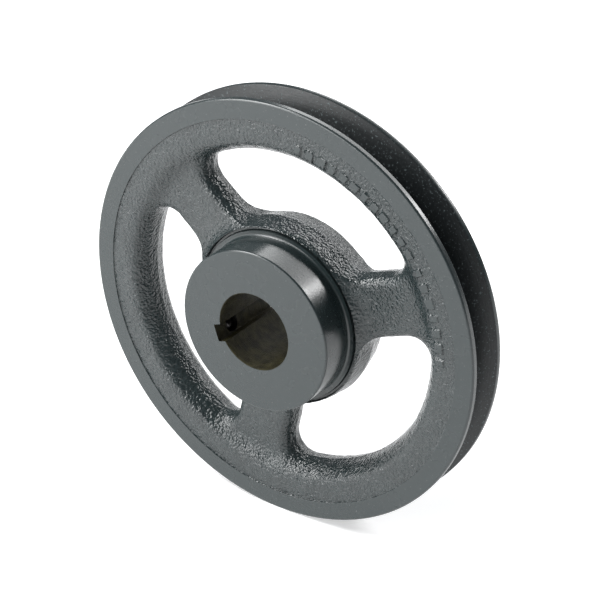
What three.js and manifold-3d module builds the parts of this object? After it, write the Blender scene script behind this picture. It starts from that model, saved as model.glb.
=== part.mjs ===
// V belt pulley: a one-piece iron casting (grooved rim, three arms, hub) and the
// set screw that threads into its hub over the keyway.
// Millimetres. The pulley turns about Y, its hub projects towards -Y, +Z is up, and
// the origin lies on the bore axis halfway along the hub.

import * as THREE from 'three';
import { mergeVertices } from 'three/addons/utils/BufferGeometryUtils.js';
import Module from 'manifold-3d';

const wasm = await Module();
wasm.setup();

// Driving sizes
const INCH = 25.4;
const GAP = 0.3;
const OUTER_RADIUS = 7.75 * INCH / 2;
const RIM_WIDTH = 0.875 * INCH;
const HUB_LENGTH = 1.5 * INCH;
const BORE_RADIUS = 1.375 * INCH / 2;

// Positions along the pulley's axis
const HUB_FRONT = -HUB_LENGTH / 2;
const REAR = HUB_LENGTH / 2;
const RIM_FRONT = REAR - RIM_WIDTH;
const PARTING = (RIM_FRONT + REAR) / 2;
const WEB_HALF = 6.6;
const SHOULDER = RIM_FRONT + 0.6;

// Hub
const HUB_RADIUS = 37.3;
const HUB_REAR_RADIUS = 40.4;
const HUB_FILLET = 1.2;
const SHOULDER_RADIUS = 41.2;
const RELIEF_INNER = 39.4;
const RELIEF_DEPTH = 1.3;
const RELIEF_SLANT = 0.3;
const EDGE_BREAK = 0.8;
const BORE_CHAMFER = 0.5;

// Rim and belt groove
const FACE_INNER_RADIUS = 89.5;
const FACE_STEP = 0.3;
const GROOVE_TOP = 16.0;
const GROOVE_DEPTH = 13.5;
const GROOVE_HALF_ANGLE = THREE.MathUtils.degToRad(18);
const GROOVE_EDGE = 0.5;
const GROOVE_ROOT = 0.9;

// Arms and the windows between them
const ARM_COUNT = 3;
const ARM_ANGLE = THREE.MathUtils.degToRad(19.2);
const ARM_HALF_WIDTH = 14.3;
const WINDOW_OUTER = 73.3;
const WINDOW_INNER = 43.0;
const RIM_CORNER = 11.0;
const HUB_CORNER = 6.0;
const DRAFT = 2.3;

// Keyway and set screw (5/16-18, cup point), opposite one arm
const KEY_ANGLE = ARM_ANGLE + Math.PI;
const KEY_WIDTH = 0.3125 * INCH;
const KEY_FLOOR = 21.08;
const SCREW_Y = HUB_FRONT + 11.0;
const SCREW_LENGTH = 0.5 * INCH;
const SCREW_RADIUS = 0.3125 * INCH / 2 - GAP;
const SCREW_POINT_AT = KEY_FLOOR + 2.0;
const CUP_RADIUS = 1.9;
const CUP_DEPTH = 0.9;
const POINT_CONE = 1.7;
const SOCKET_ACROSS_FLATS = 0.15625 * INCH;
const SOCKET_DEPTH = 5.0;

const ROUND_STEPS = 72;
const SCREW_STEPS = 32;
const WELD = 0.004;

const PAINTED_IRON = { color: 0x2f3738, roughness: 0.42, metalness: 0.25 };
const BLACK_STEEL = { color: 0x23211f, roughness: 0.4, metalness: 0.85 };

// A solid from a closed three.js geometry
function solid(geometry) {
  const bare = new THREE.BufferGeometry();
  bare.setAttribute('position', geometry.getAttribute('position'));
  if (geometry.index) {
    bare.setIndex(geometry.index);
  }
  const welded = mergeVertices(bare, 1e-4);
  const triVerts = new Uint32Array(welded.index.array);
  const vertProperties = new Float32Array(welded.getAttribute('position').array);
  const mesh = new wasm.Mesh({ numProp: 3, vertProperties, triVerts });
  return new wasm.Manifold(mesh);
}

// A three.js geometry from a solid
function geometryOf(body) {
  const mesh = body.simplify(WELD).getMesh();
  const geometry = new THREE.BufferGeometry();
  geometry.setAttribute('position', new THREE.BufferAttribute(mesh.vertProperties, 3));
  geometry.setIndex(new THREE.BufferAttribute(mesh.triVerts, 1));
  return geometry;
}

function namedMesh(name, body, look) {
  const geometry = geometryOf(body).toNonIndexed();
  geometry.computeVertexNormals();
  const material = new THREE.MeshStandardMaterial({ ...look, flatShading: true });
  const mesh = new THREE.Mesh(geometry, material);
  mesh.name = name;
  return mesh;
}

// Points on a quarter round about (radius, y), from one angle to another in degrees
function round(radius, y, size, fromDegrees, toDegrees, steps = 2) {
  const points = [];
  for (let i = 0; i <= steps; i += 1) {
    const angle = THREE.MathUtils.degToRad(fromDegrees + (toDegrees - fromDegrees) * i / steps);
    points.push([radius + size * Math.cos(angle), y + size * Math.sin(angle)]);
  }
  return points;
}

// Turned front: hub nose, its fillet, the machined shoulder behind it and the relief groove
function hubFrontProfile() {
  return [
    [BORE_RADIUS, HUB_FRONT + BORE_CHAMFER],
    [BORE_RADIUS + BORE_CHAMFER, HUB_FRONT],
    ...round(HUB_RADIUS - EDGE_BREAK, HUB_FRONT + EDGE_BREAK, EDGE_BREAK, -90, 0),
    ...round(HUB_RADIUS + HUB_FILLET, SHOULDER - HUB_FILLET, HUB_FILLET, 180, 90),
    [RELIEF_INNER, SHOULDER],
    [RELIEF_INNER + RELIEF_SLANT, SHOULDER + RELIEF_DEPTH],
    [SHOULDER_RADIUS - RELIEF_SLANT, SHOULDER + RELIEF_DEPTH],
    [SHOULDER_RADIUS, SHOULDER],
  ];
}

// Cast front of the arms: falls away from the shoulder, then rises again to the rim
function webFrontProfile() {
  const front = PARTING - WEB_HALF;
  return [
    [42.6, front - 3.4],
    [45.6, front - 1.6],
    [51.0, front - 0.4],
    [60.0, front],
    [71.0, front - 0.1],
    [74.5, front - 0.85],
    [78.0, front - 2.9],
    [81.5, front - 3.85],
    [FACE_INNER_RADIUS, front - 4.05],
    [FACE_INNER_RADIUS + FACE_STEP, RIM_FRONT],
  ];
}

// Rim front half: machined face, rounded lip, land and groove wall down to the root
function rimFrontProfile() {
  const root = OUTER_RADIUS - GROOVE_DEPTH;
  const top = PARTING - GROOVE_TOP / 2;
  const slope = Math.tan(GROOVE_HALF_ANGLE);
  return [
    ...round(OUTER_RADIUS - EDGE_BREAK, RIM_FRONT + EDGE_BREAK, EDGE_BREAK, -90, 0),
    [OUTER_RADIUS, top - GROOVE_EDGE],
    [OUTER_RADIUS - GROOVE_EDGE, top + GROOVE_EDGE * slope],
    [root + GROOVE_ROOT, top + (GROOVE_DEPTH - GROOVE_ROOT) * slope],
    [root, top + GROOVE_DEPTH * slope + 0.4 * GROOVE_ROOT],
  ];
}

function mirrored(points) {
  return points.map(([radius, y]) => [radius, 2 * PARTING - y]).reverse();
}

// Rear of the hub: cast sides with draft up to a faced end flush with the rim
function hubRearProfile() {
  const back = PARTING + WEB_HALF;
  return [
    [42.2, back + 3.0],
    ...round(HUB_REAR_RADIUS - EDGE_BREAK, REAR - EDGE_BREAK, EDGE_BREAK, 0, 90),
    [BORE_RADIUS + BORE_CHAMFER, REAR],
    [BORE_RADIUS, REAR - BORE_CHAMFER],
  ];
}

// The whole casting as one turned ring, before the windows, keyway and screw hole
function castBlank() {
  const webFront = webFrontProfile();
  const ring = [
    ...hubFrontProfile(),
    ...webFront,
    ...rimFrontProfile(),
    ...mirrored(rimFrontProfile()),
    ...mirrored(webFront.slice(2)),
    ...hubRearProfile(),
  ];
  ring.push(ring[0]);
  const profile = ring.map(([radius, y]) => new THREE.Vector2(radius, y));
  return solid(new THREE.LatheGeometry(profile, ROUND_STEPS));
}

// Outline of the opening between two arms, centred on its own +X direction
function windowShape() {
  const half = Math.PI / ARM_COUNT;
  const rimCentre = ARM_HALF_WIDTH + RIM_CORNER;
  const hubCentre = ARM_HALF_WIDTH + HUB_CORNER;
  const rimReach = WINDOW_OUTER - RIM_CORNER;
  const hubReach = WINDOW_INNER + HUB_CORNER;
  const rimTurn = Math.asin(rimCentre / rimReach);
  const hubTurn = Math.asin(hubCentre / hubReach);
  const corner = (reach, angle) => [reach * Math.cos(angle), reach * Math.sin(angle)];
  const lowRim = corner(rimReach, rimTurn - half);
  const highRim = corner(rimReach, half - rimTurn);
  const lowHub = corner(hubReach, hubTurn - half);
  const highHub = corner(hubReach, half - hubTurn);
  const quarter = Math.PI / 2;
  const shape = new THREE.Shape();
  shape.absarc(...lowRim, RIM_CORNER, -half - quarter, rimTurn - half, false);
  shape.absarc(0, 0, WINDOW_OUTER, rimTurn - half, half - rimTurn, false);
  shape.absarc(...highRim, RIM_CORNER, half - rimTurn, half + quarter, false);
  shape.absarc(...highHub, HUB_CORNER, half + quarter, Math.PI + half - hubTurn, false);
  shape.absarc(0, 0, WINDOW_INNER, half - hubTurn, hubTurn - half, true);
  shape.absarc(...lowHub, HUB_CORNER, Math.PI + hubTurn - half, 3 * quarter - half, false);
  return shape;
}

// One window cutter: narrowest at the parting plane, opening towards both faces
function windowCutter(index) {
  const reach = RIM_WIDTH / 2 + 2;
  const slot = new THREE.ExtrudeGeometry(windowShape(), {
    depth: 0.2,
    bevelThickness: reach,
    bevelSize: -DRAFT,
    bevelOffset: DRAFT,
    bevelSegments: 1,
    curveSegments: 6,
  });
  slot.rotateX(Math.PI / 2);
  slot.rotateY(-(ARM_ANGLE + (2 * index + 1) * Math.PI / ARM_COUNT));
  slot.translate(0, PARTING + 0.1, 0);
  return solid(slot);
}

function keywayCutter() {
  const slot = new THREE.BoxGeometry(KEY_FLOOR, HUB_LENGTH + 4, KEY_WIDTH);
  slot.translate(KEY_FLOOR / 2, 0, 0);
  slot.rotateY(-KEY_ANGLE);
  return solid(slot);
}

// Places a shape modelled along +Y so that +Y points out of the hub over the keyway
function alongScrew(geometry) {
  geometry.rotateZ(-Math.PI / 2);
  geometry.rotateY(-KEY_ANGLE);
  geometry.translate(0, SCREW_Y, 0);
  return geometry;
}

function screwHoleCutter() {
  const length = HUB_RADIUS + 6 - BORE_RADIUS;
  const hole = new THREE.CylinderGeometry(SCREW_RADIUS + GAP, SCREW_RADIUS + GAP, length, SCREW_STEPS);
  hole.translate(0, BORE_RADIUS + length / 2, 0);
  return solid(alongScrew(hole));
}

function pulleyCasting() {
  let body = castBlank();
  for (let index = 0; index < ARM_COUNT; index += 1) {
    body = body.subtract(windowCutter(index));
  }
  return body.subtract(keywayCutter()).subtract(screwHoleCutter());
}

// Headless screw: hex socket at its outer end and a ground cup at its point
function setScrew() {
  const top = SCREW_POINT_AT + SCREW_LENGTH;
  const profile = [
    [0, SCREW_POINT_AT + CUP_DEPTH],
    [CUP_RADIUS, SCREW_POINT_AT],
    [CUP_RADIUS + 0.25, SCREW_POINT_AT],
    [SCREW_RADIUS, SCREW_POINT_AT + POINT_CONE],
    [SCREW_RADIUS, top - 0.5],
    [SCREW_RADIUS - 0.5, top],
    [0, top],
  ].map(([radius, y]) => new THREE.Vector2(radius, y));
  const shank = solid(alongScrew(new THREE.LatheGeometry(profile, SCREW_STEPS)));
  const acrossCorners = SOCKET_ACROSS_FLATS / Math.cos(Math.PI / 6);
  const socket = new THREE.CylinderGeometry(acrossCorners / 2, acrossCorners / 2, SOCKET_DEPTH + 1, 6);
  socket.translate(0, top + 0.5 - SOCKET_DEPTH / 2, 0);
  return shank.subtract(solid(alongScrew(socket)));
}

const group = new THREE.Group();
group.name = 'v_belt_pulley';
group.add(namedMesh('pulley_casting', pulleyCasting(), PAINTED_IRON));
group.add(namedMesh('keyway_set_screw', setScrew(), BLACK_STEEL));

export default group;
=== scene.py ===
"""Looks for the V belt pulley.

The casting is built the way the real one is made: a cast shape with rounded edges and sand grain is
written as a field of signed distances, machining cuts are taken from it, and the result is turned into
one closed mesh. The set screw gets its thread, hex socket and cup point.
Lengths inside the builders are millimetres; meshes are written in metres.
"""
import math

import bmesh
import bpy
import numpy as np
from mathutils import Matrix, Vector


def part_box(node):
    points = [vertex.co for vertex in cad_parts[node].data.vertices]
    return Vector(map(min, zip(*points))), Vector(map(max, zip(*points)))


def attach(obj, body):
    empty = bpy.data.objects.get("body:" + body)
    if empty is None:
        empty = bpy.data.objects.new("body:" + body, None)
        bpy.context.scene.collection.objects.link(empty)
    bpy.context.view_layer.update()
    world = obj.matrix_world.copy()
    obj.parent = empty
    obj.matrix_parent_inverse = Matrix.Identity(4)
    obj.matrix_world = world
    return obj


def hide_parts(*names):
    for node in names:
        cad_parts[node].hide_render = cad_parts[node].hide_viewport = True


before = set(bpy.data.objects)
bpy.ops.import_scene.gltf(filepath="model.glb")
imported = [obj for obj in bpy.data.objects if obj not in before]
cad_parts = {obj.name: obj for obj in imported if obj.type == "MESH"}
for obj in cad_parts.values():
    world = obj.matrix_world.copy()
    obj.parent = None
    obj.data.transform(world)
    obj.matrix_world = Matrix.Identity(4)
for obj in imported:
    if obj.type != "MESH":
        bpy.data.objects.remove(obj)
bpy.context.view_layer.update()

MM = 0.001

# Main sizes, from the frame
casting_low, casting_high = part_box("pulley_casting")
OUTER_RADIUS = casting_high[0] / MM
HUB_FRONT = casting_low[1] / MM
REAR = casting_high[1] / MM
RIM_WIDTH = 22.225
RIM_FRONT = REAR - RIM_WIDTH
PARTING = (RIM_FRONT + REAR) / 2

# Hub, shoulder and bore
HUB_RADIUS = 37.3
SHOULDER = RIM_FRONT + 0.6
SHOULDER_RADIUS = 41.2
SHOULDER_FILLET = 1.2
RELIEF_INNER = 39.6
RELIEF_DEPTH = 2.0
RELIEF_CORNER = 0.5
CAST_NOSE_RADIUS = 39.8
BORE_RADIUS = 17.4625
BORE_CHAMFER = 0.5
NOSE_EDGE_RADIUS = 0.8

# Rim and belt groove
FACE_INNER_RADIUS = 89.5
FACE_STEP_WIDTH = 0.3
FACE_STOCK = 1.0
RIM_EDGE_RADIUS = 0.9
GROOVE_HALF_TOP = 8.0
GROOVE_ROOT = OUTER_RADIUS - 13.5
GROOVE_ROOT_CORNER = 1.2
GROOVE_EDGE_RADIUS = 0.5
GROOVE_ANGLE = math.radians(18)

# Arms and windows
ARM_COUNT = 3
ARM_ANGLE = math.radians(19.2)
ARM_HALF_WIDTH = 14.3
WINDOW_OUTER = 73.3
WINDOW_INNER = 43.0
RIM_CORNER = 11.0
HUB_CORNER = 6.0
WEB_HALF = 6.6

# The web thickens towards the hub and towards the rim
HUB_RISE = 4.4
HUB_RISE_LEAST_RADIUS = 38.0
HUB_RISE_RADIUS = 41.0
HUB_RISE_REACH = 4.0
RIM_RISE = 4.05
RIM_RISE_RADIUS = 76.6
RIM_RISE_REACH = 1.6

# Sand casting: draft and edge rounding of the windows, and how they change near the hub
HUB_ZONE_START = 52.0
HUB_ZONE_WIDTH = 8.0
DRAFT = 0.21
HUB_DRAFT_CHANGE_FRONT = -0.08
HUB_DRAFT_CHANGE_REAR = 0.03
FRONT_ROUNDING = 3.6
REAR_ROUNDING = 2.6
HUB_ROUNDING_LOSS = 0.75

# Bumps of the cast skin, added within a reach of it: (size across, height, seed)
BUMP_REACH = 1.5
CAST_BUMPS = ((3.1, 0.11, 11), (1.7, 0.06, 12), (16.0, 0.13, 13))

# Raised pads: each row has a first and a last angle in degrees and a number of pads
PAD_ROWS = ((82.0, 37.0, 12), (31.0, 3.0, 7))
PAD_RADIUS = 81.8
PAD_HALF_WIDTH = 2.1
PAD_HALF_LENGTHS = (1.5, 1.85, 2.2)
PAD_EDGE = 0.7
PAD_HEIGHT = 0.75

# Keyway
KEY_ANGLE = ARM_ANGLE + math.pi
KEY_HALF_WIDTH = 3.97
KEY_FLOOR = 21.08
KEY_CORNER = 0.3

# Thread: its depth follows a triangle wave, cut flat at crest and root
SCREW_PITCH = 25.4 / 18
THREAD_STEEPNESS = 1.7
THREAD_CREST_FLAT = 0.25

# Threaded hole over the keyway, with a countersunk mouth
SCREW_Y = HUB_FRONT + 11.0
HOLE_RADIUS = 3.97
HOLE_THREAD_RADIUS = 3.84
HOLE_THREAD_DEPTH = 0.26
HOLE_MOUTH_WIDENING = 0.25
HOLE_INNER_END = KEY_FLOOR - 0.6
HOLE_OUTER_END = HUB_RADIUS + 1.5
HOLE_SIDES = 48
HOLE_ROW_STEP = 0.14

# Set screw; profiles are pairs of depth below an end and radius
SCREW_BOTTOM = KEY_FLOOR + 2.0
SCREW_LENGTH = 12.7
SCREW_CREST = 3.66
SCREW_ROOT = 3.12
SCREW_SIDES = 72
SCREW_ROW_STEP = 0.1
AXIS_RADIUS = 0.02
POINT_RADIUS = 2.1
CUP_PROFILE = ((0.9, AXIS_RADIUS), (0.45, 1.0), (0.0, 1.9), (0.0, POINT_RADIUS))
THREAD_START = 0.5
THREAD_END = 0.35
END_CHAMFER_LENGTH = 0.7
END_CHAMFER_SLOPE = 0.8
END_PROFILE = ((0.12, SCREW_ROOT - 0.1), (0.0, SCREW_ROOT - 0.3), (0.0, 2.5))
SOCKET_ACROSS_FLATS = 3.97
SOCKET_MOUTH_DEPTH = 0.25
SOCKET_DEPTH = 5.0
SOCKET_CONE_DEPTH = 0.6
SCREW_SMOOTH_ANGLE = math.radians(35)

# Grid for the casting's mesh: (start, step) pairs, fine where the edges are
GRID_TURNS = 408
GRID_MARGIN = 0.4
GRID_EDGE = 1.4
GRID_FINE = 0.3
GRID_RADII = (
    (16.9, 0.4),    # bore
    (18.1, 0.9),    # keyway walls
    (20.8, 0.25),   # keyway floor
    (21.4, 2.2),    # inside of the hub
    (35.7, 0.33),   # hub nose, relief groove and shoulder
    (42.5, 0.95),   # arms, windows and pads
    (84.1, 0.45),   # root of the belt groove
    (86.4, 1.0),    # cast band
    (89.0, 0.3),    # step to the turned face
    (90.0, 1.0),    # turned face
    (96.9, 0.35),   # rim's edges
    (98.9, 0),
)
GRID_HEIGHTS = (
    (HUB_FRONT - GRID_MARGIN, GRID_FINE),   # hub's front face
    (HUB_FRONT + GRID_EDGE, 2.6),           # hub nose
    (-5.4, GRID_FINE),                      # rim's front face and shoulder
    (-1.2, 0.92),                           # arms and belt groove
    (REAR - GRID_EDGE, GRID_FINE),          # rear face
    (REAR + GRID_MARGIN, 0),
)

# Search for the surface along each grid edge
SEARCH_STEPS = 4
SEARCH_MARGIN = 0.05

# Slopes of the field, how far inside a face they are read, and least lengths to divide by
SLOPE_REACH = 0.02
NORMAL_INSET = 0.08
LEAST_SLOPE = 1e-9
LEAST_LENGTH = 1e-6

# Pull on each vertex towards the middle of its crossings
CENTRE_PULL = 0.04

# Strips are joined where they lie this flat, along edges this well in line with the rings
FLAT_ANGLE = math.radians(0.4)
RING_ALIGNMENT = 0.95

# Finishes of the faces, in the order of the casting's material slots
CAST, TURNED, GROOVE, BARE, THREAD = range(5)

# Colours
PAINT = (0.018, 0.027, 0.028)
PAINT_DARK = (0.014, 0.021, 0.022)
PAINT_DUST = (0.10, 0.11, 0.11)
# Overspray in the belt groove, darker than the paint: partly its thin coat, partly painted shade of the
# deep groove
OVERSPRAY_AND_PAINTED_SHADE = (0.006, 0.009, 0.010)
GROOVE_DUST = (0.10, 0.125, 0.13)
OIL_DARK = (0.009, 0.008, 0.003)
OIL_PALE = (0.032, 0.029, 0.013)
THREAD_COLOUR = (0.009, 0.008, 0.006)
OXIDE_DARK = (0.016, 0.015, 0.015)
OXIDE_WORN = (0.060, 0.056, 0.052)
FLOOR_DARK = (0.84, 0.84, 0.845)
FLOOR_PALE = (0.88, 0.88, 0.88)
BACKDROP_COLOUR = (0.9, 0.9, 0.9)
SURROUNDINGS_COLOUR = (0.9, 0.95, 1.0)

# Other values of the looks
PAINT_SPECULAR = 0.66
PIT_SMOOTHNESS = 0.4
FLOOR_GLOW = 0.45
SURROUNDINGS_STRENGTH = 0.2

# Numbers of the colour sockets on a Mix node
MIX_FIRST_COLOUR = 6
MIX_SECOND_COLOUR = 7
MIX_COLOUR_RESULT = 2

# Studio, in metres: name, place, target, width, height and power of each soft box
SOFT_BOXES = (
    ("key_left", (-0.95, -0.62, 1.15), (0, 0, 0), 0.8, 0.8, 30),
    ("front_left", (-1.0, -1.7, 0.5), (0, 0, 0), 1.3, 0.8, 26),
    ("back_wall", (0.0, 1.45, 0.95), (0, 0, 0.05), 1.9, 0.7, 20),
    ("back_right", (0.75, 1.1, 0.78), (0, 0, 0), 0.16, 0.3, 4),
)
FLOOR_HALF = 6.0

# Camera: direction, distance and lens, and how far its aim is from the middle of the rim's front
CAMERA_AZIMUTH = math.radians(34.8)
CAMERA_ELEVATION = math.radians(28.9)
CAMERA_DISTANCE = 884.65
CAMERA_LENS = 122.15
AIM_RIGHT = 12.28
AIM_UP = 5.57


# ---------------------------------------------------------------- distance fields

def smooth_min(a, b, size):
    """Joins two fields with a fillet."""
    blend = np.maximum(size - np.abs(a - b), 0) / size
    return np.minimum(a, b) - blend * blend * size / 4


def round_max(a, b, radius):
    """Keeps what is inside both fields, with the corner rounded to a radius."""
    outside = np.hypot(np.maximum(a + radius, 0), np.maximum(b + radius, 0))
    return np.minimum(-radius, np.maximum(a, b)) + outside


def ring_section(r, y, outer, low, high, rounding):
    """A disc reaching out to a radius, between two planes, with rounded rims."""
    over_r = r - outer + rounding
    over_y = np.abs(y - (low + high) / 2) - (high - low) / 2 + rounding
    inside = np.minimum(np.maximum(over_r, over_y), 0)
    return inside + np.hypot(np.maximum(over_r, 0), np.maximum(over_y, 0)) - rounding


def lattice_noise(x, y, z, cell, seed):
    """Smooth noise from -1 to 1 with bumps about one cell across."""
    side = 32
    table = np.random.default_rng(seed).uniform(-1, 1, (side, side, side)).astype(np.float32)
    corner = []
    weight = []
    for value in (x, y, z):
        scaled = value / cell
        low = np.floor(scaled)
        part = scaled - low
        corner.append(low.astype(np.int64))
        weight.append(part * part * (3 - 2 * part))
    total = 0
    for step in np.ndindex(2, 2, 2):
        share = 1
        for axis in range(3):
            share = share * (weight[axis] if step[axis] else 1 - weight[axis])
        index = [(corner[axis] + step[axis]) % side for axis in range(3)]
        total = total + share * table[index[0], index[1], index[2]]
    return total


# ---------------------------------------------------------------- the casting

def pad_relief(r, angle):
    """Raised blank pads along the band outside the windows, in place of cast lettering."""
    relief = np.zeros_like(r)
    for start, end, count in PAD_ROWS:
        for number in range(count):
            centre = math.radians(start + (end - start) * number / (count - 1))
            along = np.abs((angle - centre + math.pi) % (2 * math.pi) - math.pi) * r
            half_length = PAD_HALF_LENGTHS[number % len(PAD_HALF_LENGTHS)]
            distance = np.maximum(along - half_length, np.abs(r - PAD_RADIUS) - PAD_HALF_WIDTH)
            relief = np.maximum(relief, np.clip(0.5 - distance / PAD_EDGE, 0, 1))
    return relief


def half_thickness(r):
    """Half the casting's thickness along the axis, and how it changes with radius."""
    outside_hub = np.maximum(r, HUB_RISE_LEAST_RADIUS)
    hub_rise = HUB_RISE * np.exp(-(outside_hub - HUB_RISE_RADIUS) / HUB_RISE_REACH)
    rim_share = 1 / (1 + np.exp((RIM_RISE_RADIUS - r) / RIM_RISE_REACH))
    thickness = WEB_HALF + hub_rise + RIM_RISE * rim_share
    rim_slope = RIM_RISE * rim_share * (1 - rim_share) / RIM_RISE_REACH
    return thickness, rim_slope - hub_rise / HUB_RISE_REACH


def window_outline(r, angle):
    """Distance to the nearest window's outline at the parting plane, negative in the opening."""
    sector = 2 * math.pi / ARM_COUNT
    from_arm = (angle - ARM_ANGLE + sector / 2) % sector - sector / 2
    side = ARM_HALF_WIDTH - r * np.abs(np.sin(from_arm))
    by_rim = round_max(side, r - WINDOW_OUTER, RIM_CORNER)
    by_hub = round_max(side, WINDOW_INNER - r, HUB_CORNER)
    return np.maximum(by_rim, by_hub)


def cast_shape(x, y, z):
    """The casting as it leaves the sand: drafted walls, rounded edges and a bumpy skin."""
    r = np.hypot(x, z)
    angle = np.arctan2(z, x)
    depth = np.abs(y - PARTING)
    front = y < PARTING
    thickness, slope = half_thickness(r)
    thickness = thickness + PAD_HEIGHT * np.where(front, pad_relief(r, angle), 0)
    # Spare metal outside the cast band, which the lathe faces off
    thickness = thickness + FACE_STOCK * np.clip((r - FACE_INNER_RADIUS) / FACE_STEP_WIDTH, 0, 1)
    slab = np.minimum((depth - thickness) / np.hypot(1, slope), r - CAST_NOSE_RADIUS)
    near_hub = np.clip((HUB_ZONE_START - r) / HUB_ZONE_WIDTH, 0, 1)
    change = np.where(front, HUB_DRAFT_CHANGE_FRONT, HUB_DRAFT_CHANGE_REAR)
    draft = DRAFT + near_hub * change
    drafted = draft * np.minimum(depth, RIM_WIDTH / 2)
    wall = (drafted - window_outline(r, angle)) / np.hypot(1, draft)
    rounding = np.where(front, FRONT_ROUNDING, REAR_ROUNDING) * (1 - HUB_ROUNDING_LOSS * near_hub)
    shape = round_max(slab, wall, rounding)
    close = np.abs(shape) < BUMP_REACH
    for size, height, seed in CAST_BUMPS:
        shape[close] -= height * lattice_noise(x[close], y[close], z[close], size, seed)
    return shape


def machined_envelope(r, y):
    """Faces left by the lathe: rim, hub nose, shoulder with its relief groove, and rear."""
    rim = ring_section(r, y, OUTER_RADIUS, RIM_FRONT, REAR, RIM_EDGE_RADIUS)
    recess = np.maximum(r - SHOULDER_RADIUS, y - SHOULDER)
    middle = (RELIEF_INNER + SHOULDER_RADIUS) / 2
    beside = np.abs(r - middle) - (SHOULDER_RADIUS - RELIEF_INNER) / 2
    relief = round_max(beside, y - SHOULDER - RELIEF_DEPTH, RELIEF_CORNER)
    recess = np.minimum(recess, relief)
    nose = ring_section(r, y, HUB_RADIUS, HUB_FRONT, PARTING, NOSE_EDGE_RADIUS)
    return smooth_min(np.maximum(rim, -recess), nose, SHOULDER_FILLET)


def belt_groove(r, y):
    """Negative inside the V of the belt groove."""
    offset = np.abs(y - PARTING) - GROOVE_HALF_TOP
    flank = offset * math.cos(GROOVE_ANGLE) + (OUTER_RADIUS - r) * math.sin(GROOVE_ANGLE)
    return round_max(flank, GROOVE_ROOT - r, GROOVE_ROOT_CORNER)


def bore_and_keyway(x, y, z, r):
    """Negative inside the bore with its chamfers, or inside the keyway."""
    to_end = np.minimum(y - HUB_FRONT, REAR - y)
    bore = r - BORE_RADIUS - np.clip(BORE_CHAMFER - to_end, 0, BORE_CHAMFER)
    outward = x * math.cos(KEY_ANGLE) + z * math.sin(KEY_ANGLE)
    across = z * math.cos(KEY_ANGLE) - x * math.sin(KEY_ANGLE)
    slot = round_max(np.abs(across) - KEY_HALF_WIDTH, outward - KEY_FLOOR, KEY_CORNER)
    slot = np.maximum(slot, -outward)
    return np.minimum(bore, slot)


def pulley_field(x, y, z):
    """Signed distance to the finished casting, negative in the iron."""
    r = np.hypot(x, z)
    field = np.maximum(cast_shape(x, y, z), machined_envelope(r, y))
    field = round_max(field, -belt_groove(r, y), GROOVE_EDGE_RADIUS)
    return np.maximum(field, -bore_and_keyway(x, y, z, r))


# ---------------------------------------------------------------- meshing the field

def graded(stretches):
    """Grid lines from (start, step) pairs; the last pair only ends the run."""
    lines = []
    for (start, step), (end, _) in zip(stretches, stretches[1:]):
        count = max(1, round((end - start) / step))
        lines.extend(start + (end - start) * k / count for k in range(count))
    lines.append(stretches[-1][0])
    return np.array(lines)


def to_space(r, angle, y):
    """Turns radius, angle and height along the shaft's axis into x, y and z."""
    return r * np.cos(angle), y, r * np.sin(angle)


def crossings(field, lines, values, axis):
    """Grid edges along one axis where the field changes sign, with points on the surface."""
    inside = values < 0
    ahead = np.roll(inside, -1, axis)
    changed = inside != ahead
    if axis != 1:
        last = [slice(None)] * 3
        last[axis] = -1
        changed[tuple(last)] = False
    cell = np.argwhere(changed)
    ahead_cell = cell.copy()
    ahead_cell[:, axis] += 1
    ahead_cell[:, 1] %= values.shape[1]
    start = [lines[k][cell[:, k]] for k in range(3)]
    step = np.diff(lines[axis], append=lines[axis][-1])[cell[:, axis]]
    if axis == 1:
        step = np.full(len(cell), 2 * math.pi / values.shape[1])
    low, high = np.zeros(len(cell)), np.ones(len(cell))
    at_low = values[tuple(cell.T)]
    at_high = values[tuple(ahead_cell.T)]
    for _ in range(SEARCH_STEPS):
        share = np.clip(at_low / (at_low - at_high), SEARCH_MARGIN, 1 - SEARCH_MARGIN)
        middle = low + (high - low) * share
        place = list(start)
        place[axis] = start[axis] + middle * step
        found = field(*to_space(*place))
        same = (found < 0) == (at_low < 0)
        low, at_low = np.where(same, middle, low), np.where(same, found, at_low)
        high, at_high = np.where(same, high, middle), np.where(same, at_high, found)
    place = list(start)
    place[axis] = start[axis] + (low + high) / 2 * step
    return cell, np.stack(to_space(*place), 1), inside[tuple(cell.T)]


def untangle(values):
    """Takes a corner out of the iron on each grid face whose corners alternate in and out.

    Without that two sheets of the surface could share an edge there. Corners only ever go from
    inside to outside, so the work ends.
    """
    tangled = True
    while tangled:
        tangled = False
        for first, second in ((0, 1), (0, 2), (1, 2)):
            near, far = np.roll(values, -1, first), np.roll(values, -1, second)
            across = np.roll(near, -1, second)
            alternate = ((values < 0) == (across < 0)) & ((near < 0) == (far < 0))
            alternate &= (values < 0) != (near < 0)
            for place in np.argwhere(alternate):
                corners = []
                for steps in ((0, 0), (1, 0), (0, 1), (1, 1)):
                    corner = place.copy()
                    corner[first] += steps[0]
                    corner[second] += steps[1]
                    corner[1] %= values.shape[1]
                    corners.append(tuple(corner))
                inside = [corner for corner in corners if values[corner] < 0]
                if inside:
                    weakest = max(inside, key=lambda corner: values[corner])
                    values[weakest] = -values[weakest]
                    tangled = True


def slopes(field, points):
    """Unit normals of the field at points, from four samples round each."""
    total = np.zeros_like(points)
    for sign in ((1, -1, -1), (-1, -1, 1), (-1, 1, -1), (1, 1, 1)):
        moved = points + SLOPE_REACH * np.array(sign)
        total += field(*moved.T.copy())[:, None] * np.array(sign)
    return total / np.maximum(np.linalg.norm(total, axis=1, keepdims=True), LEAST_SLOPE)


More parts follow.
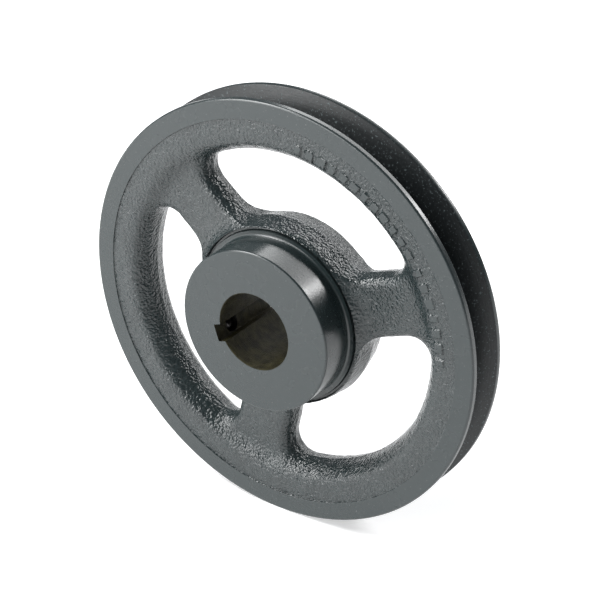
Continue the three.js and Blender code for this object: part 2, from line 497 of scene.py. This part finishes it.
def dual_contour(field, radii, turns, heights):
    """Vertices and quads of the field's closed surface on a grid of radius, angle and height."""
    angles = KEY_ANGLE + 2 * math.pi * (np.arange(turns) + 0.5) / turns
    lines = (radii, angles, heights)
    grid = np.meshgrid(*lines, indexing="ij")
    values = field(*to_space(*grid))
    untangle(values)
    shape = values.shape
    quads, points, normals, owners = [], [], [], []
    # In each plane across an edge, the four cells round it, in turn
    loops = {0: ((0, -1, -1), (0, 0, -1), (0, 0, 0), (0, -1, 0)),
             1: ((-1, 0, -1), (0, 0, -1), (0, 0, 0), (-1, 0, 0)),
             2: ((-1, -1, 0), (0, -1, 0), (0, 0, 0), (-1, 0, 0))}
    for axis in range(3):
        cell, place, inward = crossings(field, lines, values, axis)
        slope = slopes(field, place)
        corner = []
        for shift in loops[axis]:
            moved = cell + np.array(shift)
            moved[:, 1] %= shape[1]
            corner.append(np.ravel_multi_index(moved.T, shape))
        quad = np.stack(corner, 1)
        forward = inward if axis == 1 else ~inward
        quads.append(np.where(forward[:, None], quad, quad[:, ::-1]))
        points.append(np.repeat(place, 4, 0))
        normals.append(np.repeat(slope, 4, 0))
        owners.append(quad.ravel())
    owner = np.concatenate(owners)
    point = np.concatenate(points)
    normal = np.concatenate(normals)
    cells, number = np.unique(owner, return_inverse=True)
    vertices = settle(cells, number, point, normal, shape, lines)
    faces = np.searchsorted(cells, np.concatenate(quads))
    return vertices, faces


def settle(cells, number, point, normal, shape, lines):
    """One vertex per cell, where the planes through its crossings meet best."""
    def gather(value):
        return np.bincount(number, value, len(cells))

    count = np.bincount(number, minlength=len(cells))
    middle = np.stack([gather(point[:, k]) for k in range(3)], 1) / count[:, None]
    offset = ((point - middle[number]) * normal).sum(1)
    matrix = np.empty((len(cells), 3, 3))
    right = np.empty((len(cells), 3))
    for row in range(3):
        right[:, row] = gather(normal[:, row] * offset)
        for column in range(3):
            matrix[:, row, column] = gather(normal[:, row] * normal[:, column])
    matrix += CENTRE_PULL * count[:, None, None] * np.eye(3)
    vertex = middle + np.linalg.solve(matrix, right[:, :, None])[:, :, 0]
    low = np.stack(np.unravel_index(cells, shape), 1)
    r = np.hypot(vertex[:, 0], vertex[:, 2])
    r = np.clip(r, lines[0][low[:, 0]], lines[0][low[:, 0] + 1])
    y = np.clip(vertex[:, 1], lines[2][low[:, 2]], lines[2][low[:, 2] + 1])
    width = 2 * math.pi / shape[1]
    centre = lines[1][low[:, 1]] + width / 2
    turn = np.arctan2(vertex[:, 2], vertex[:, 0]) - centre
    turn = (turn + math.pi) % (2 * math.pi) - math.pi
    angle = centre + np.clip(turn, -width / 2, width / 2)
    return np.stack(to_space(r, angle, y), 1)


# ---------------------------------------------------------------- pieces

def mesh_object(name, vertices, faces):
    """Makes a mesh in the scene from vertices in millimetres."""
    mesh = bpy.data.meshes.new(name)
    mesh.from_pydata((vertices * MM).tolist(), [], faces)
    mesh.update()
    piece = bpy.data.objects.new(name, mesh)
    bpy.context.scene.collection.objects.link(piece)
    return piece


def finish_of(points):
    """Which finish the surface has at each point: that of the cut that made it, or as cast."""
    x, y, z = points.T.copy()
    r = np.hypot(x, z)
    # One row for each finish but the thread's, which comes with the hole's cut
    fields = np.empty((THREAD, len(points)))
    fields[CAST] = cast_shape(x, y, z)
    fields[TURNED] = machined_envelope(r, y)
    fields[GROOVE] = -belt_groove(r, y)
    fields[BARE] = -bore_and_keyway(x, y, z, r)
    return np.argmax(fields, 0)


def merge_straight_rings(mesh):
    """Joins the strips that the grid cut machined faces into, where they lie in one line."""
    shape = bmesh.new()
    shape.from_mesh(mesh)
    straight = []
    for edge in shape.edges:
        first, second = edge.link_faces
        if first.material_index != second.material_index or first.material_index == CAST:
            continue
        if edge.calc_face_angle() > FLAT_ANGLE:
            continue
        middle = (edge.verts[0].co + edge.verts[1].co) / 2
        run = edge.verts[1].co - edge.verts[0].co
        around = Vector((-middle.z, 0, middle.x))
        if abs(run.dot(around)) > RING_ALIGNMENT * run.length * around.length:
            straight.append(edge)
    bmesh.ops.dissolve_edges(shape, edges=straight, use_verts=True)
    shape.to_mesh(mesh)
    shape.free()


def screw_space(along, across, lift):
    """Places a point by its distance out along the set screw, across it and along the axis."""
    out = np.array((math.cos(KEY_ANGLE), 0, math.sin(KEY_ANGLE)))
    side = np.array((-math.sin(KEY_ANGLE), 0, math.cos(KEY_ANGLE)))
    axis = np.array((0, 1, 0))
    return along[:, None] * out + across[:, None] * side + (lift + SCREW_Y)[:, None] * axis


def ring_mesh(name, rows, turns):
    """A closed mesh round the set screw's axis from rows of (place along it, radii)."""
    angle = 2 * math.pi * np.arange(turns) / turns
    points = [screw_space(np.array([rows[0][0]]), np.zeros(1), np.zeros(1))]
    for along, radius in rows:
        radius = np.broadcast_to(radius, turns)
        place = np.broadcast_to(along, turns)
        points.append(screw_space(place, radius * np.cos(angle), radius * np.sin(angle)))
    points.append(screw_space(np.array([rows[-1][0]]), np.zeros(1), np.zeros(1)))
    faces = []
    for row in range(len(rows) - 1):
        for k in range(turns):
            here = 1 + row * turns
            ahead = (k + 1) % turns
            faces.append((here + k, here + ahead, here + turns + ahead, here + turns + k))
    last = 1 + (len(rows) - 1) * turns
    end = last + turns
    for k in range(turns):
        ahead = (k + 1) % turns
        faces.append((0, 1 + ahead, 1 + k))
        faces.append((end, last + k, last + ahead))
    piece = mesh_object(name, np.concatenate(points), faces)
    shape = bmesh.new()
    shape.from_mesh(piece.data)
    bmesh.ops.recalc_face_normals(shape, faces=shape.faces)
    shape.to_mesh(piece.data)
    shape.free()
    return piece


def thread_depth(along, turns):
    """From 0 at a thread's crest to 1 at its root, round one row."""
    phase = (along / SCREW_PITCH - np.arange(turns) / turns) % 1
    return np.clip(THREAD_STEEPNESS * (1 - np.abs(2 * phase - 1)) - THREAD_CREST_FLAT, 0, 1)


def tapped_hole():
    """The shape taken out of the hub: a threaded hole with a countersunk mouth."""
    rows = []
    for along in np.arange(HOLE_INNER_END, HOLE_OUTER_END, HOLE_ROW_STEP):
        radius = HOLE_THREAD_RADIUS + HOLE_THREAD_DEPTH * thread_depth(along, HOLE_SIDES)
        mouth = HOLE_RADIUS + HOLE_MOUTH_WIDENING + along - HUB_RADIUS
        rows.append((along, np.maximum(radius, mouth)))
    return ring_mesh("tapped_hole", rows, HOLE_SIDES)


def cut_tapped_hole(piece):
    """Cuts the threaded hole out of the casting, with the thread's own finish on its walls."""
    cutter = tapped_hole()
    # Empty slots up to the thread's, so that its faces keep their number through the cut
    for _ in range(THREAD + 1):
        cutter.data.materials.append(None)
    cutter.data.polygons.foreach_set("material_index", [THREAD] * len(cutter.data.polygons))
    cut = piece.modifiers.new("tapped_hole", "BOOLEAN")
    cut.object = cutter
    cut.solver = "MANIFOLD"
    bpy.context.view_layer.update()
    shaped = piece.evaluated_get(bpy.context.evaluated_depsgraph_get())
    mesh = bpy.data.meshes.new_from_object(shaped)
    piece.modifiers.remove(cut)
    piece.data = mesh
    bpy.data.objects.remove(cutter)


def set_field_normals(mesh):
    """Shades each face corner with the field's own slope, so cuts stay crisp and rounds smooth."""
    loops = len(mesh.loops)
    vertex = np.empty(loops, np.int32)
    mesh.loops.foreach_get("vertex_index", vertex)
    place = np.empty(len(mesh.vertices) * 3)
    mesh.vertices.foreach_get("co", place)
    corner = place.reshape(-1, 3)[vertex] / MM
    centre = np.empty(len(mesh.polygons) * 3)
    mesh.polygons.foreach_get("center", centre)
    size = np.empty(len(mesh.polygons), np.int32)
    mesh.polygons.foreach_get("loop_total", size)
    finish = np.empty(len(mesh.polygons), np.int32)
    mesh.polygons.foreach_get("material_index", finish)
    inward = np.repeat(centre.reshape(-1, 3) / MM, size, 0) - corner
    inward /= np.maximum(np.linalg.norm(inward, axis=1, keepdims=True), LEAST_LENGTH)
    normals = slopes(pulley_field, corner + NORMAL_INSET * inward)
    normals[np.repeat(finish, size) == THREAD] = 0
    mesh.normals_split_custom_set(normals.tolist())


def within_cad(vertices):
    """Moves vertices that stand past the CAD's faces back onto them."""
    vertices[:, 1] = np.clip(vertices[:, 1], HUB_FRONT, REAR)
    reach = np.maximum(np.hypot(vertices[:, 0], vertices[:, 2]) / OUTER_RADIUS, 1)
    vertices[:, [0, 2]] /= reach[:, None]
    return vertices


def make_casting():
    """The whole casting as one closed mesh, with a finish for each way its surface was made."""
    vertices, faces = dual_contour(pulley_field, graded(GRID_RADII), GRID_TURNS, graded(GRID_HEIGHTS))
    vertices = within_cad(vertices)
    piece = mesh_object("casting_surface", vertices, faces.tolist())
    for look in (CAST_PAINT, TURNED_PAINT, GROOVE_PAINT, BARE_IRON, THREAD_STEEL):
        piece.data.materials.append(look)
    finish = finish_of(vertices[faces].mean(1))
    piece.data.polygons.foreach_set("material_index", finish)
    merge_straight_rings(piece.data)
    cut_tapped_hole(piece)
    piece.data.polygons.foreach_set("use_smooth", [True] * len(piece.data.polygons))
    set_field_normals(piece.data)
    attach(piece, "pulley")
    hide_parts("pulley_casting")


def hexagon_radius(angle):
    """How far the hex socket's wall is from the screw's axis at each angle."""
    sixth = math.pi / 3
    return SOCKET_ACROSS_FLATS / 2 / np.cos((angle + sixth / 2) % sixth - sixth / 2)


def make_set_screw():
    """Headless screw: cup point, thread with tapered ends and a hex socket."""
    top = SCREW_BOTTOM + SCREW_LENGTH
    rows = [(SCREW_BOTTOM + depth, radius) for depth, radius in CUP_PROFILE]
    for along in np.arange(SCREW_BOTTOM + THREAD_START, top - THREAD_END, SCREW_ROW_STEP):
        cone = POINT_RADIUS + (along - SCREW_BOTTOM)
        chamfer = SCREW_CREST - END_CHAMFER_SLOPE * max(0, along - (top - END_CHAMFER_LENGTH))
        radius = SCREW_CREST - (SCREW_CREST - SCREW_ROOT) * thread_depth(along, SCREW_SIDES)
        rows.append((along, np.minimum(radius, min(cone, chamfer))))
    hexagon = hexagon_radius(2 * math.pi * np.arange(SCREW_SIDES) / SCREW_SIDES)
    rows += [(top - depth, radius) for depth, radius in END_PROFILE]
    rows += [(top - SOCKET_MOUTH_DEPTH, hexagon), (top - SOCKET_DEPTH, hexagon)]
    rows.append((top - SOCKET_DEPTH - SOCKET_CONE_DEPTH, AXIS_RADIUS))
    piece = ring_mesh("set_screw_body", rows, SCREW_SIDES)
    piece.data.polygons.foreach_set("use_smooth", [True] * len(piece.data.polygons))
    piece.data.set_sharp_from_angle(angle=SCREW_SMOOTH_ANGLE)
    piece.data.materials.append(BLACK_OXIDE)
    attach(piece, "set_screw")
    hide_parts("keyway_set_screw")


# ---------------------------------------------------------------- materials

class Look:
    """A material's node tree, with short ways to add and join nodes."""

    def __init__(self, name, values):
        """Starts a material with the shader values that are the same all over its surface."""
        self.material = bpy.data.materials.new(name)
        self.material.use_nodes = True
        self.tree = self.material.node_tree
        self.shader = self.tree.nodes["Principled BSDF"]
        for socket, value in values.items():
            self.shader.inputs[socket].default_value = value
        self.place = self.node("ShaderNodeTexCoord").outputs["Object"]

    def node(self, kind, inputs=None, **settings):
        """Adds a node; inputs are values, or the sockets that drive them."""
        made = self.tree.nodes.new(kind)
        for name, value in settings.items():
            setattr(made, name, value)
        for name, value in (inputs or {}).items():
            if isinstance(value, bpy.types.NodeSocket):
                self.tree.links.new(value, made.inputs[name])
            else:
                made.inputs[name].default_value = value
        return made

    def noise(self, size_mm, detail=2.0, rough=0.5):
        """Noise with features of about that size, from 0 to 1."""
        values = {"Vector": self.place, "Scale": 1 / (size_mm * MM), "Detail": detail,
                  "Roughness": rough}
        return self.node("ShaderNodeTexNoise", values).outputs["Fac"]

    def pits(self, size_mm):
        """Rounded cells, 0 at each cell's middle."""
        values = {"Vector": self.place, "Scale": 1 / (size_mm * MM), "Smoothness": PIT_SMOOTHNESS}
        return self.node("ShaderNodeTexVoronoi", values, feature="SMOOTH_F1").outputs["Distance"]

    def lathe_lines(self, size_mm, along_axis=False):
        """Fine tool lines: rings round the axis, or lines across it spaced along its length."""
        mask = (0, 1, 0) if along_axis else (1, 0, 1)
        flat = self.node("ShaderNodeVectorMath", {0: self.place, 1: mask}, operation="MULTIPLY")
        length = self.node("ShaderNodeVectorMath", {0: flat.outputs[0]}, operation="LENGTH")
        values = {"W": length.outputs["Value"], "Scale": 1 / (size_mm * MM), "Detail": 1.0}
        noise = self.node("ShaderNodeTexNoise", values, noise_dimensions="1D")
        return noise.outputs["Fac"]

    def spread(self, value, start, end, low=0.0, high=1.0):
        """Maps a value from start..end to low..high."""
        values = {"Value": value, "From Min": start, "From Max": end, "To Min": low, "To Max": high}
        return self.node("ShaderNodeMapRange", values).outputs["Result"]

    def blend(self, factor, first, second):
        """Mixes two colours."""
        values = {"Factor": factor, MIX_FIRST_COLOUR: (*first, 1), MIX_SECOND_COLOUR: (*second, 1)}
        return self.node("ShaderNodeMix", values, data_type="RGBA").outputs[MIX_COLOUR_RESULT]

    def sum(self, *parts):
        """Adds (value, weight) pairs."""
        total = 0.0
        for value, weight in parts:
            values = {0: value, 1: weight, 2: total}
            total = self.node("ShaderNodeMath", values, operation="MULTIPLY_ADD").outputs[0]
        return total

    def bump(self, height, depth_mm):
        """Tilts the shading as if the surface rose by that depth from 0 to 1 of height."""
        values = {"Height": height, "Strength": 1.0, "Distance": depth_mm * MM}
        bump = self.node("ShaderNodeBump", values)
        self.tree.links.new(bump.outputs["Normal"], self.shader.inputs["Normal"])

    def drive(self, socket, value):
        """Lets a node set one of the shader's sockets."""
        self.tree.links.new(value, self.shader.inputs[socket])


def cast_paint():
    """Semi-gloss enamel over sand-cast iron."""
    look = Look("paint_on_casting", {"Specular IOR Level": PAINT_SPECULAR})
    patches = look.noise(9, detail=3)
    look.drive("Base Color", look.blend(look.spread(patches, 0.3, 0.7), PAINT_DARK, PAINT))
    grain = look.noise(1.25, rough=0.6)
    pits = look.pits(1.2)
    look.drive("Roughness", look.spread(grain, 0.3, 0.7, low=0.13, high=0.24))
    look.bump(look.sum((grain, 1.0), (pits, 0.6)), depth_mm=0.5)
    return look.material


def turned_paint():
    """The same enamel over turned faces: smooth, with faint tool lines and a few specks of dust."""
    look = Look("paint_on_turned_faces", {"Specular IOR Level": PAINT_SPECULAR})
    specks = look.noise(0.9, rough=0.6)
    look.drive("Base Color", look.blend(look.spread(specks, 0.68, 0.76), PAINT, PAINT_DUST))
    patches = look.noise(14, detail=3)
    look.drive("Roughness", look.spread(patches, 0.3, 0.7, low=0.22, high=0.30))
    look.bump(look.sum((look.lathe_lines(0.5), 0.3), (look.noise(0.9), 0.7)), depth_mm=0.045)
    return look.material


def groove_paint():
    """Thin overspray in the belt groove, with specks of dust; its colour is darkened to about a third of
    the paint's as painted shade of the deep groove.
    """
    look = Look("paint_in_groove", {})
    specks = look.noise(0.9, rough=0.6)
    # The groove's dark base colour is partly painted shade of the deep groove; the pale specks are dust
    look.drive("Base Color", look.blend(look.spread(specks, 0.61, 0.69), OVERSPRAY_AND_PAINTED_SHADE, GROOVE_DUST))
    look.drive("Roughness", look.spread(specks, 0.4, 0.7, low=0.40, high=0.6))
    ridges = look.noise(0.8, detail=3, rough=0.6)
    look.bump(look.sum((look.lathe_lines(0.6), 0.5), (ridges, 0.8)), depth_mm=0.07)
    return look.material


def bare_iron():
    """Unpainted bore and keyway, dark with oil."""
    look = Look("bare_oiled_iron", {"Specular IOR Level": 0.1})
    stain = look.noise(4, detail=3)
    look.drive("Base Color", look.blend(look.spread(stain, 0.35, 0.65), OIL_DARK, OIL_PALE))
    grain = look.noise(0.7, detail=3, rough=0.65)
    look.drive("Roughness", look.spread(grain, 0.3, 0.7, low=0.35, high=0.6))
    lines = look.lathe_lines(0.5, along_axis=True)
    look.bump(look.sum((lines, 0.5), (grain, 1.0)), depth_mm=0.45)
    return look.material


def thread_steel():
    """The cut thread in the hub, dark with oil."""
    look = Look("cut_thread", {"Base Color": (*THREAD_COLOUR, 1), "Metallic": 0.4})
    grain = look.noise(0.5)
    look.drive("Roughness", look.spread(grain, 0.3, 0.7, low=0.45, high=0.65))
    look.bump(grain, depth_mm=0.03)
    return look.material


def black_oxide():
    """The set screw's black finish, a little paler where it is worn."""
    look = Look("black_oxide", {"Metallic": 0.85})
    worn = look.noise(1.2, detail=3)
    look.drive("Base Color", look.blend(look.spread(worn, 0.5, 0.75), OXIDE_DARK, OXIDE_WORN))
    look.drive("Roughness", look.spread(worn, 0.3, 0.7, low=0.3, high=0.5))
    look.bump(look.noise(0.35), depth_mm=0.015)
    return look.material


def floor_finish():
    """Pale floor with a little light of its own, so that it fades into the backdrop."""
    glow = {"Emission Color": (1, 1, 1, 1), "Emission Strength": FLOOR_GLOW}
    look = Look("pale_floor", {"Roughness": 0.6, **glow})
    shade = look.noise(400)
    look.drive("Base Color", look.blend(shade, FLOOR_DARK, FLOOR_PALE))
    return look.material


# ---------------------------------------------------------------- studio

def make_floor():
    """The floor that the rim stands on."""
    height = -OUTER_RADIUS * MM
    corners = [(x * FLOOR_HALF, y * FLOOR_HALF, height) for x, y in ((-1, -1), (1, -1), (1, 1), (-1, 1))]
    mesh = bpy.data.meshes.new("floor")
    mesh.from_pydata(corners, [], [(0, 1, 2, 3)])
    mesh.materials.append(floor_finish())
    floor = bpy.data.objects.new("floor", mesh)
    bpy.context.scene.collection.objects.link(floor)


def soft_box(name, place, target, width, height, power):
    """A rectangular lamp that faces its target."""
    light = bpy.data.lights.new(name, "AREA")
    light.shape = "RECTANGLE"
    light.size = width
    light.size_y = height
    light.energy = power
    box = bpy.data.objects.new(name, light)
    box.location = place
    box.rotation_mode = "QUATERNION"
    box.rotation_quaternion = (Vector(target) - Vector(place)).to_track_quat("-Z", "Y")
    bpy.context.scene.collection.objects.link(box)


def make_surroundings():
    """Dim surroundings that light the pulley, and a pale backdrop that only the camera sees."""
    world = bpy.data.worlds.new("studio")
    world.use_nodes = True
    nodes = world.node_tree.nodes
    surroundings = nodes["Background"]
    surroundings.inputs["Color"].default_value = (*SURROUNDINGS_COLOUR, 1)
    surroundings.inputs["Strength"].default_value = SURROUNDINGS_STRENGTH
    backdrop = nodes.new("ShaderNodeBackground")
    backdrop.inputs["Color"].default_value = (*BACKDROP_COLOUR, 1)
    path = nodes.new("ShaderNodeLightPath")
    choose = nodes.new("ShaderNodeMixShader")
    link = world.node_tree.links.new
    link(path.outputs["Is Camera Ray"], choose.inputs["Fac"])
    link(surroundings.outputs[0], choose.inputs[1])
    link(backdrop.outputs[0], choose.inputs[2])
    link(choose.outputs[0], nodes["World Output"].inputs["Surface"])
    bpy.context.scene.world = world


def make_studio():
    """Lights the scene, and shows its brightness without a film curve."""
    for box in SOFT_BOXES:
        soft_box(*box)
    make_surroundings()
    bpy.context.scene.view_settings.view_transform = "Standard"


def make_camera():
    """A long lens from the front right, above; the aim is offset from the rim's front face."""
    azimuth, elevation = CAMERA_AZIMUTH, CAMERA_ELEVATION
    right = Vector((math.cos(azimuth), math.sin(azimuth), 0))
    back = Vector((math.sin(azimuth) * math.cos(elevation),
                   -math.cos(azimuth) * math.cos(elevation), math.sin(elevation)))
    up = back.cross(right)
    aim = Vector((0, RIM_FRONT, 0)) + AIM_RIGHT * right + AIM_UP * up
    data = bpy.data.cameras.new("camera")
    data.lens = CAMERA_LENS
    camera = bpy.data.objects.new("camera", data)
    camera.location = (aim + CAMERA_DISTANCE * back) * MM
    camera.rotation_mode = "QUATERNION"
    camera.rotation_quaternion = back.to_track_quat("Z", "Y")
    bpy.context.scene.collection.objects.link(camera)
    bpy.context.scene.camera = camera


CAST_PAINT = cast_paint()
TURNED_PAINT = turned_paint()
GROOVE_PAINT = groove_paint()
BARE_IRON = bare_iron()
THREAD_STEEL = thread_steel()
BLACK_OXIDE = black_oxide()

make_camera()
make_studio()
make_floor()
make_casting()
make_set_screw()
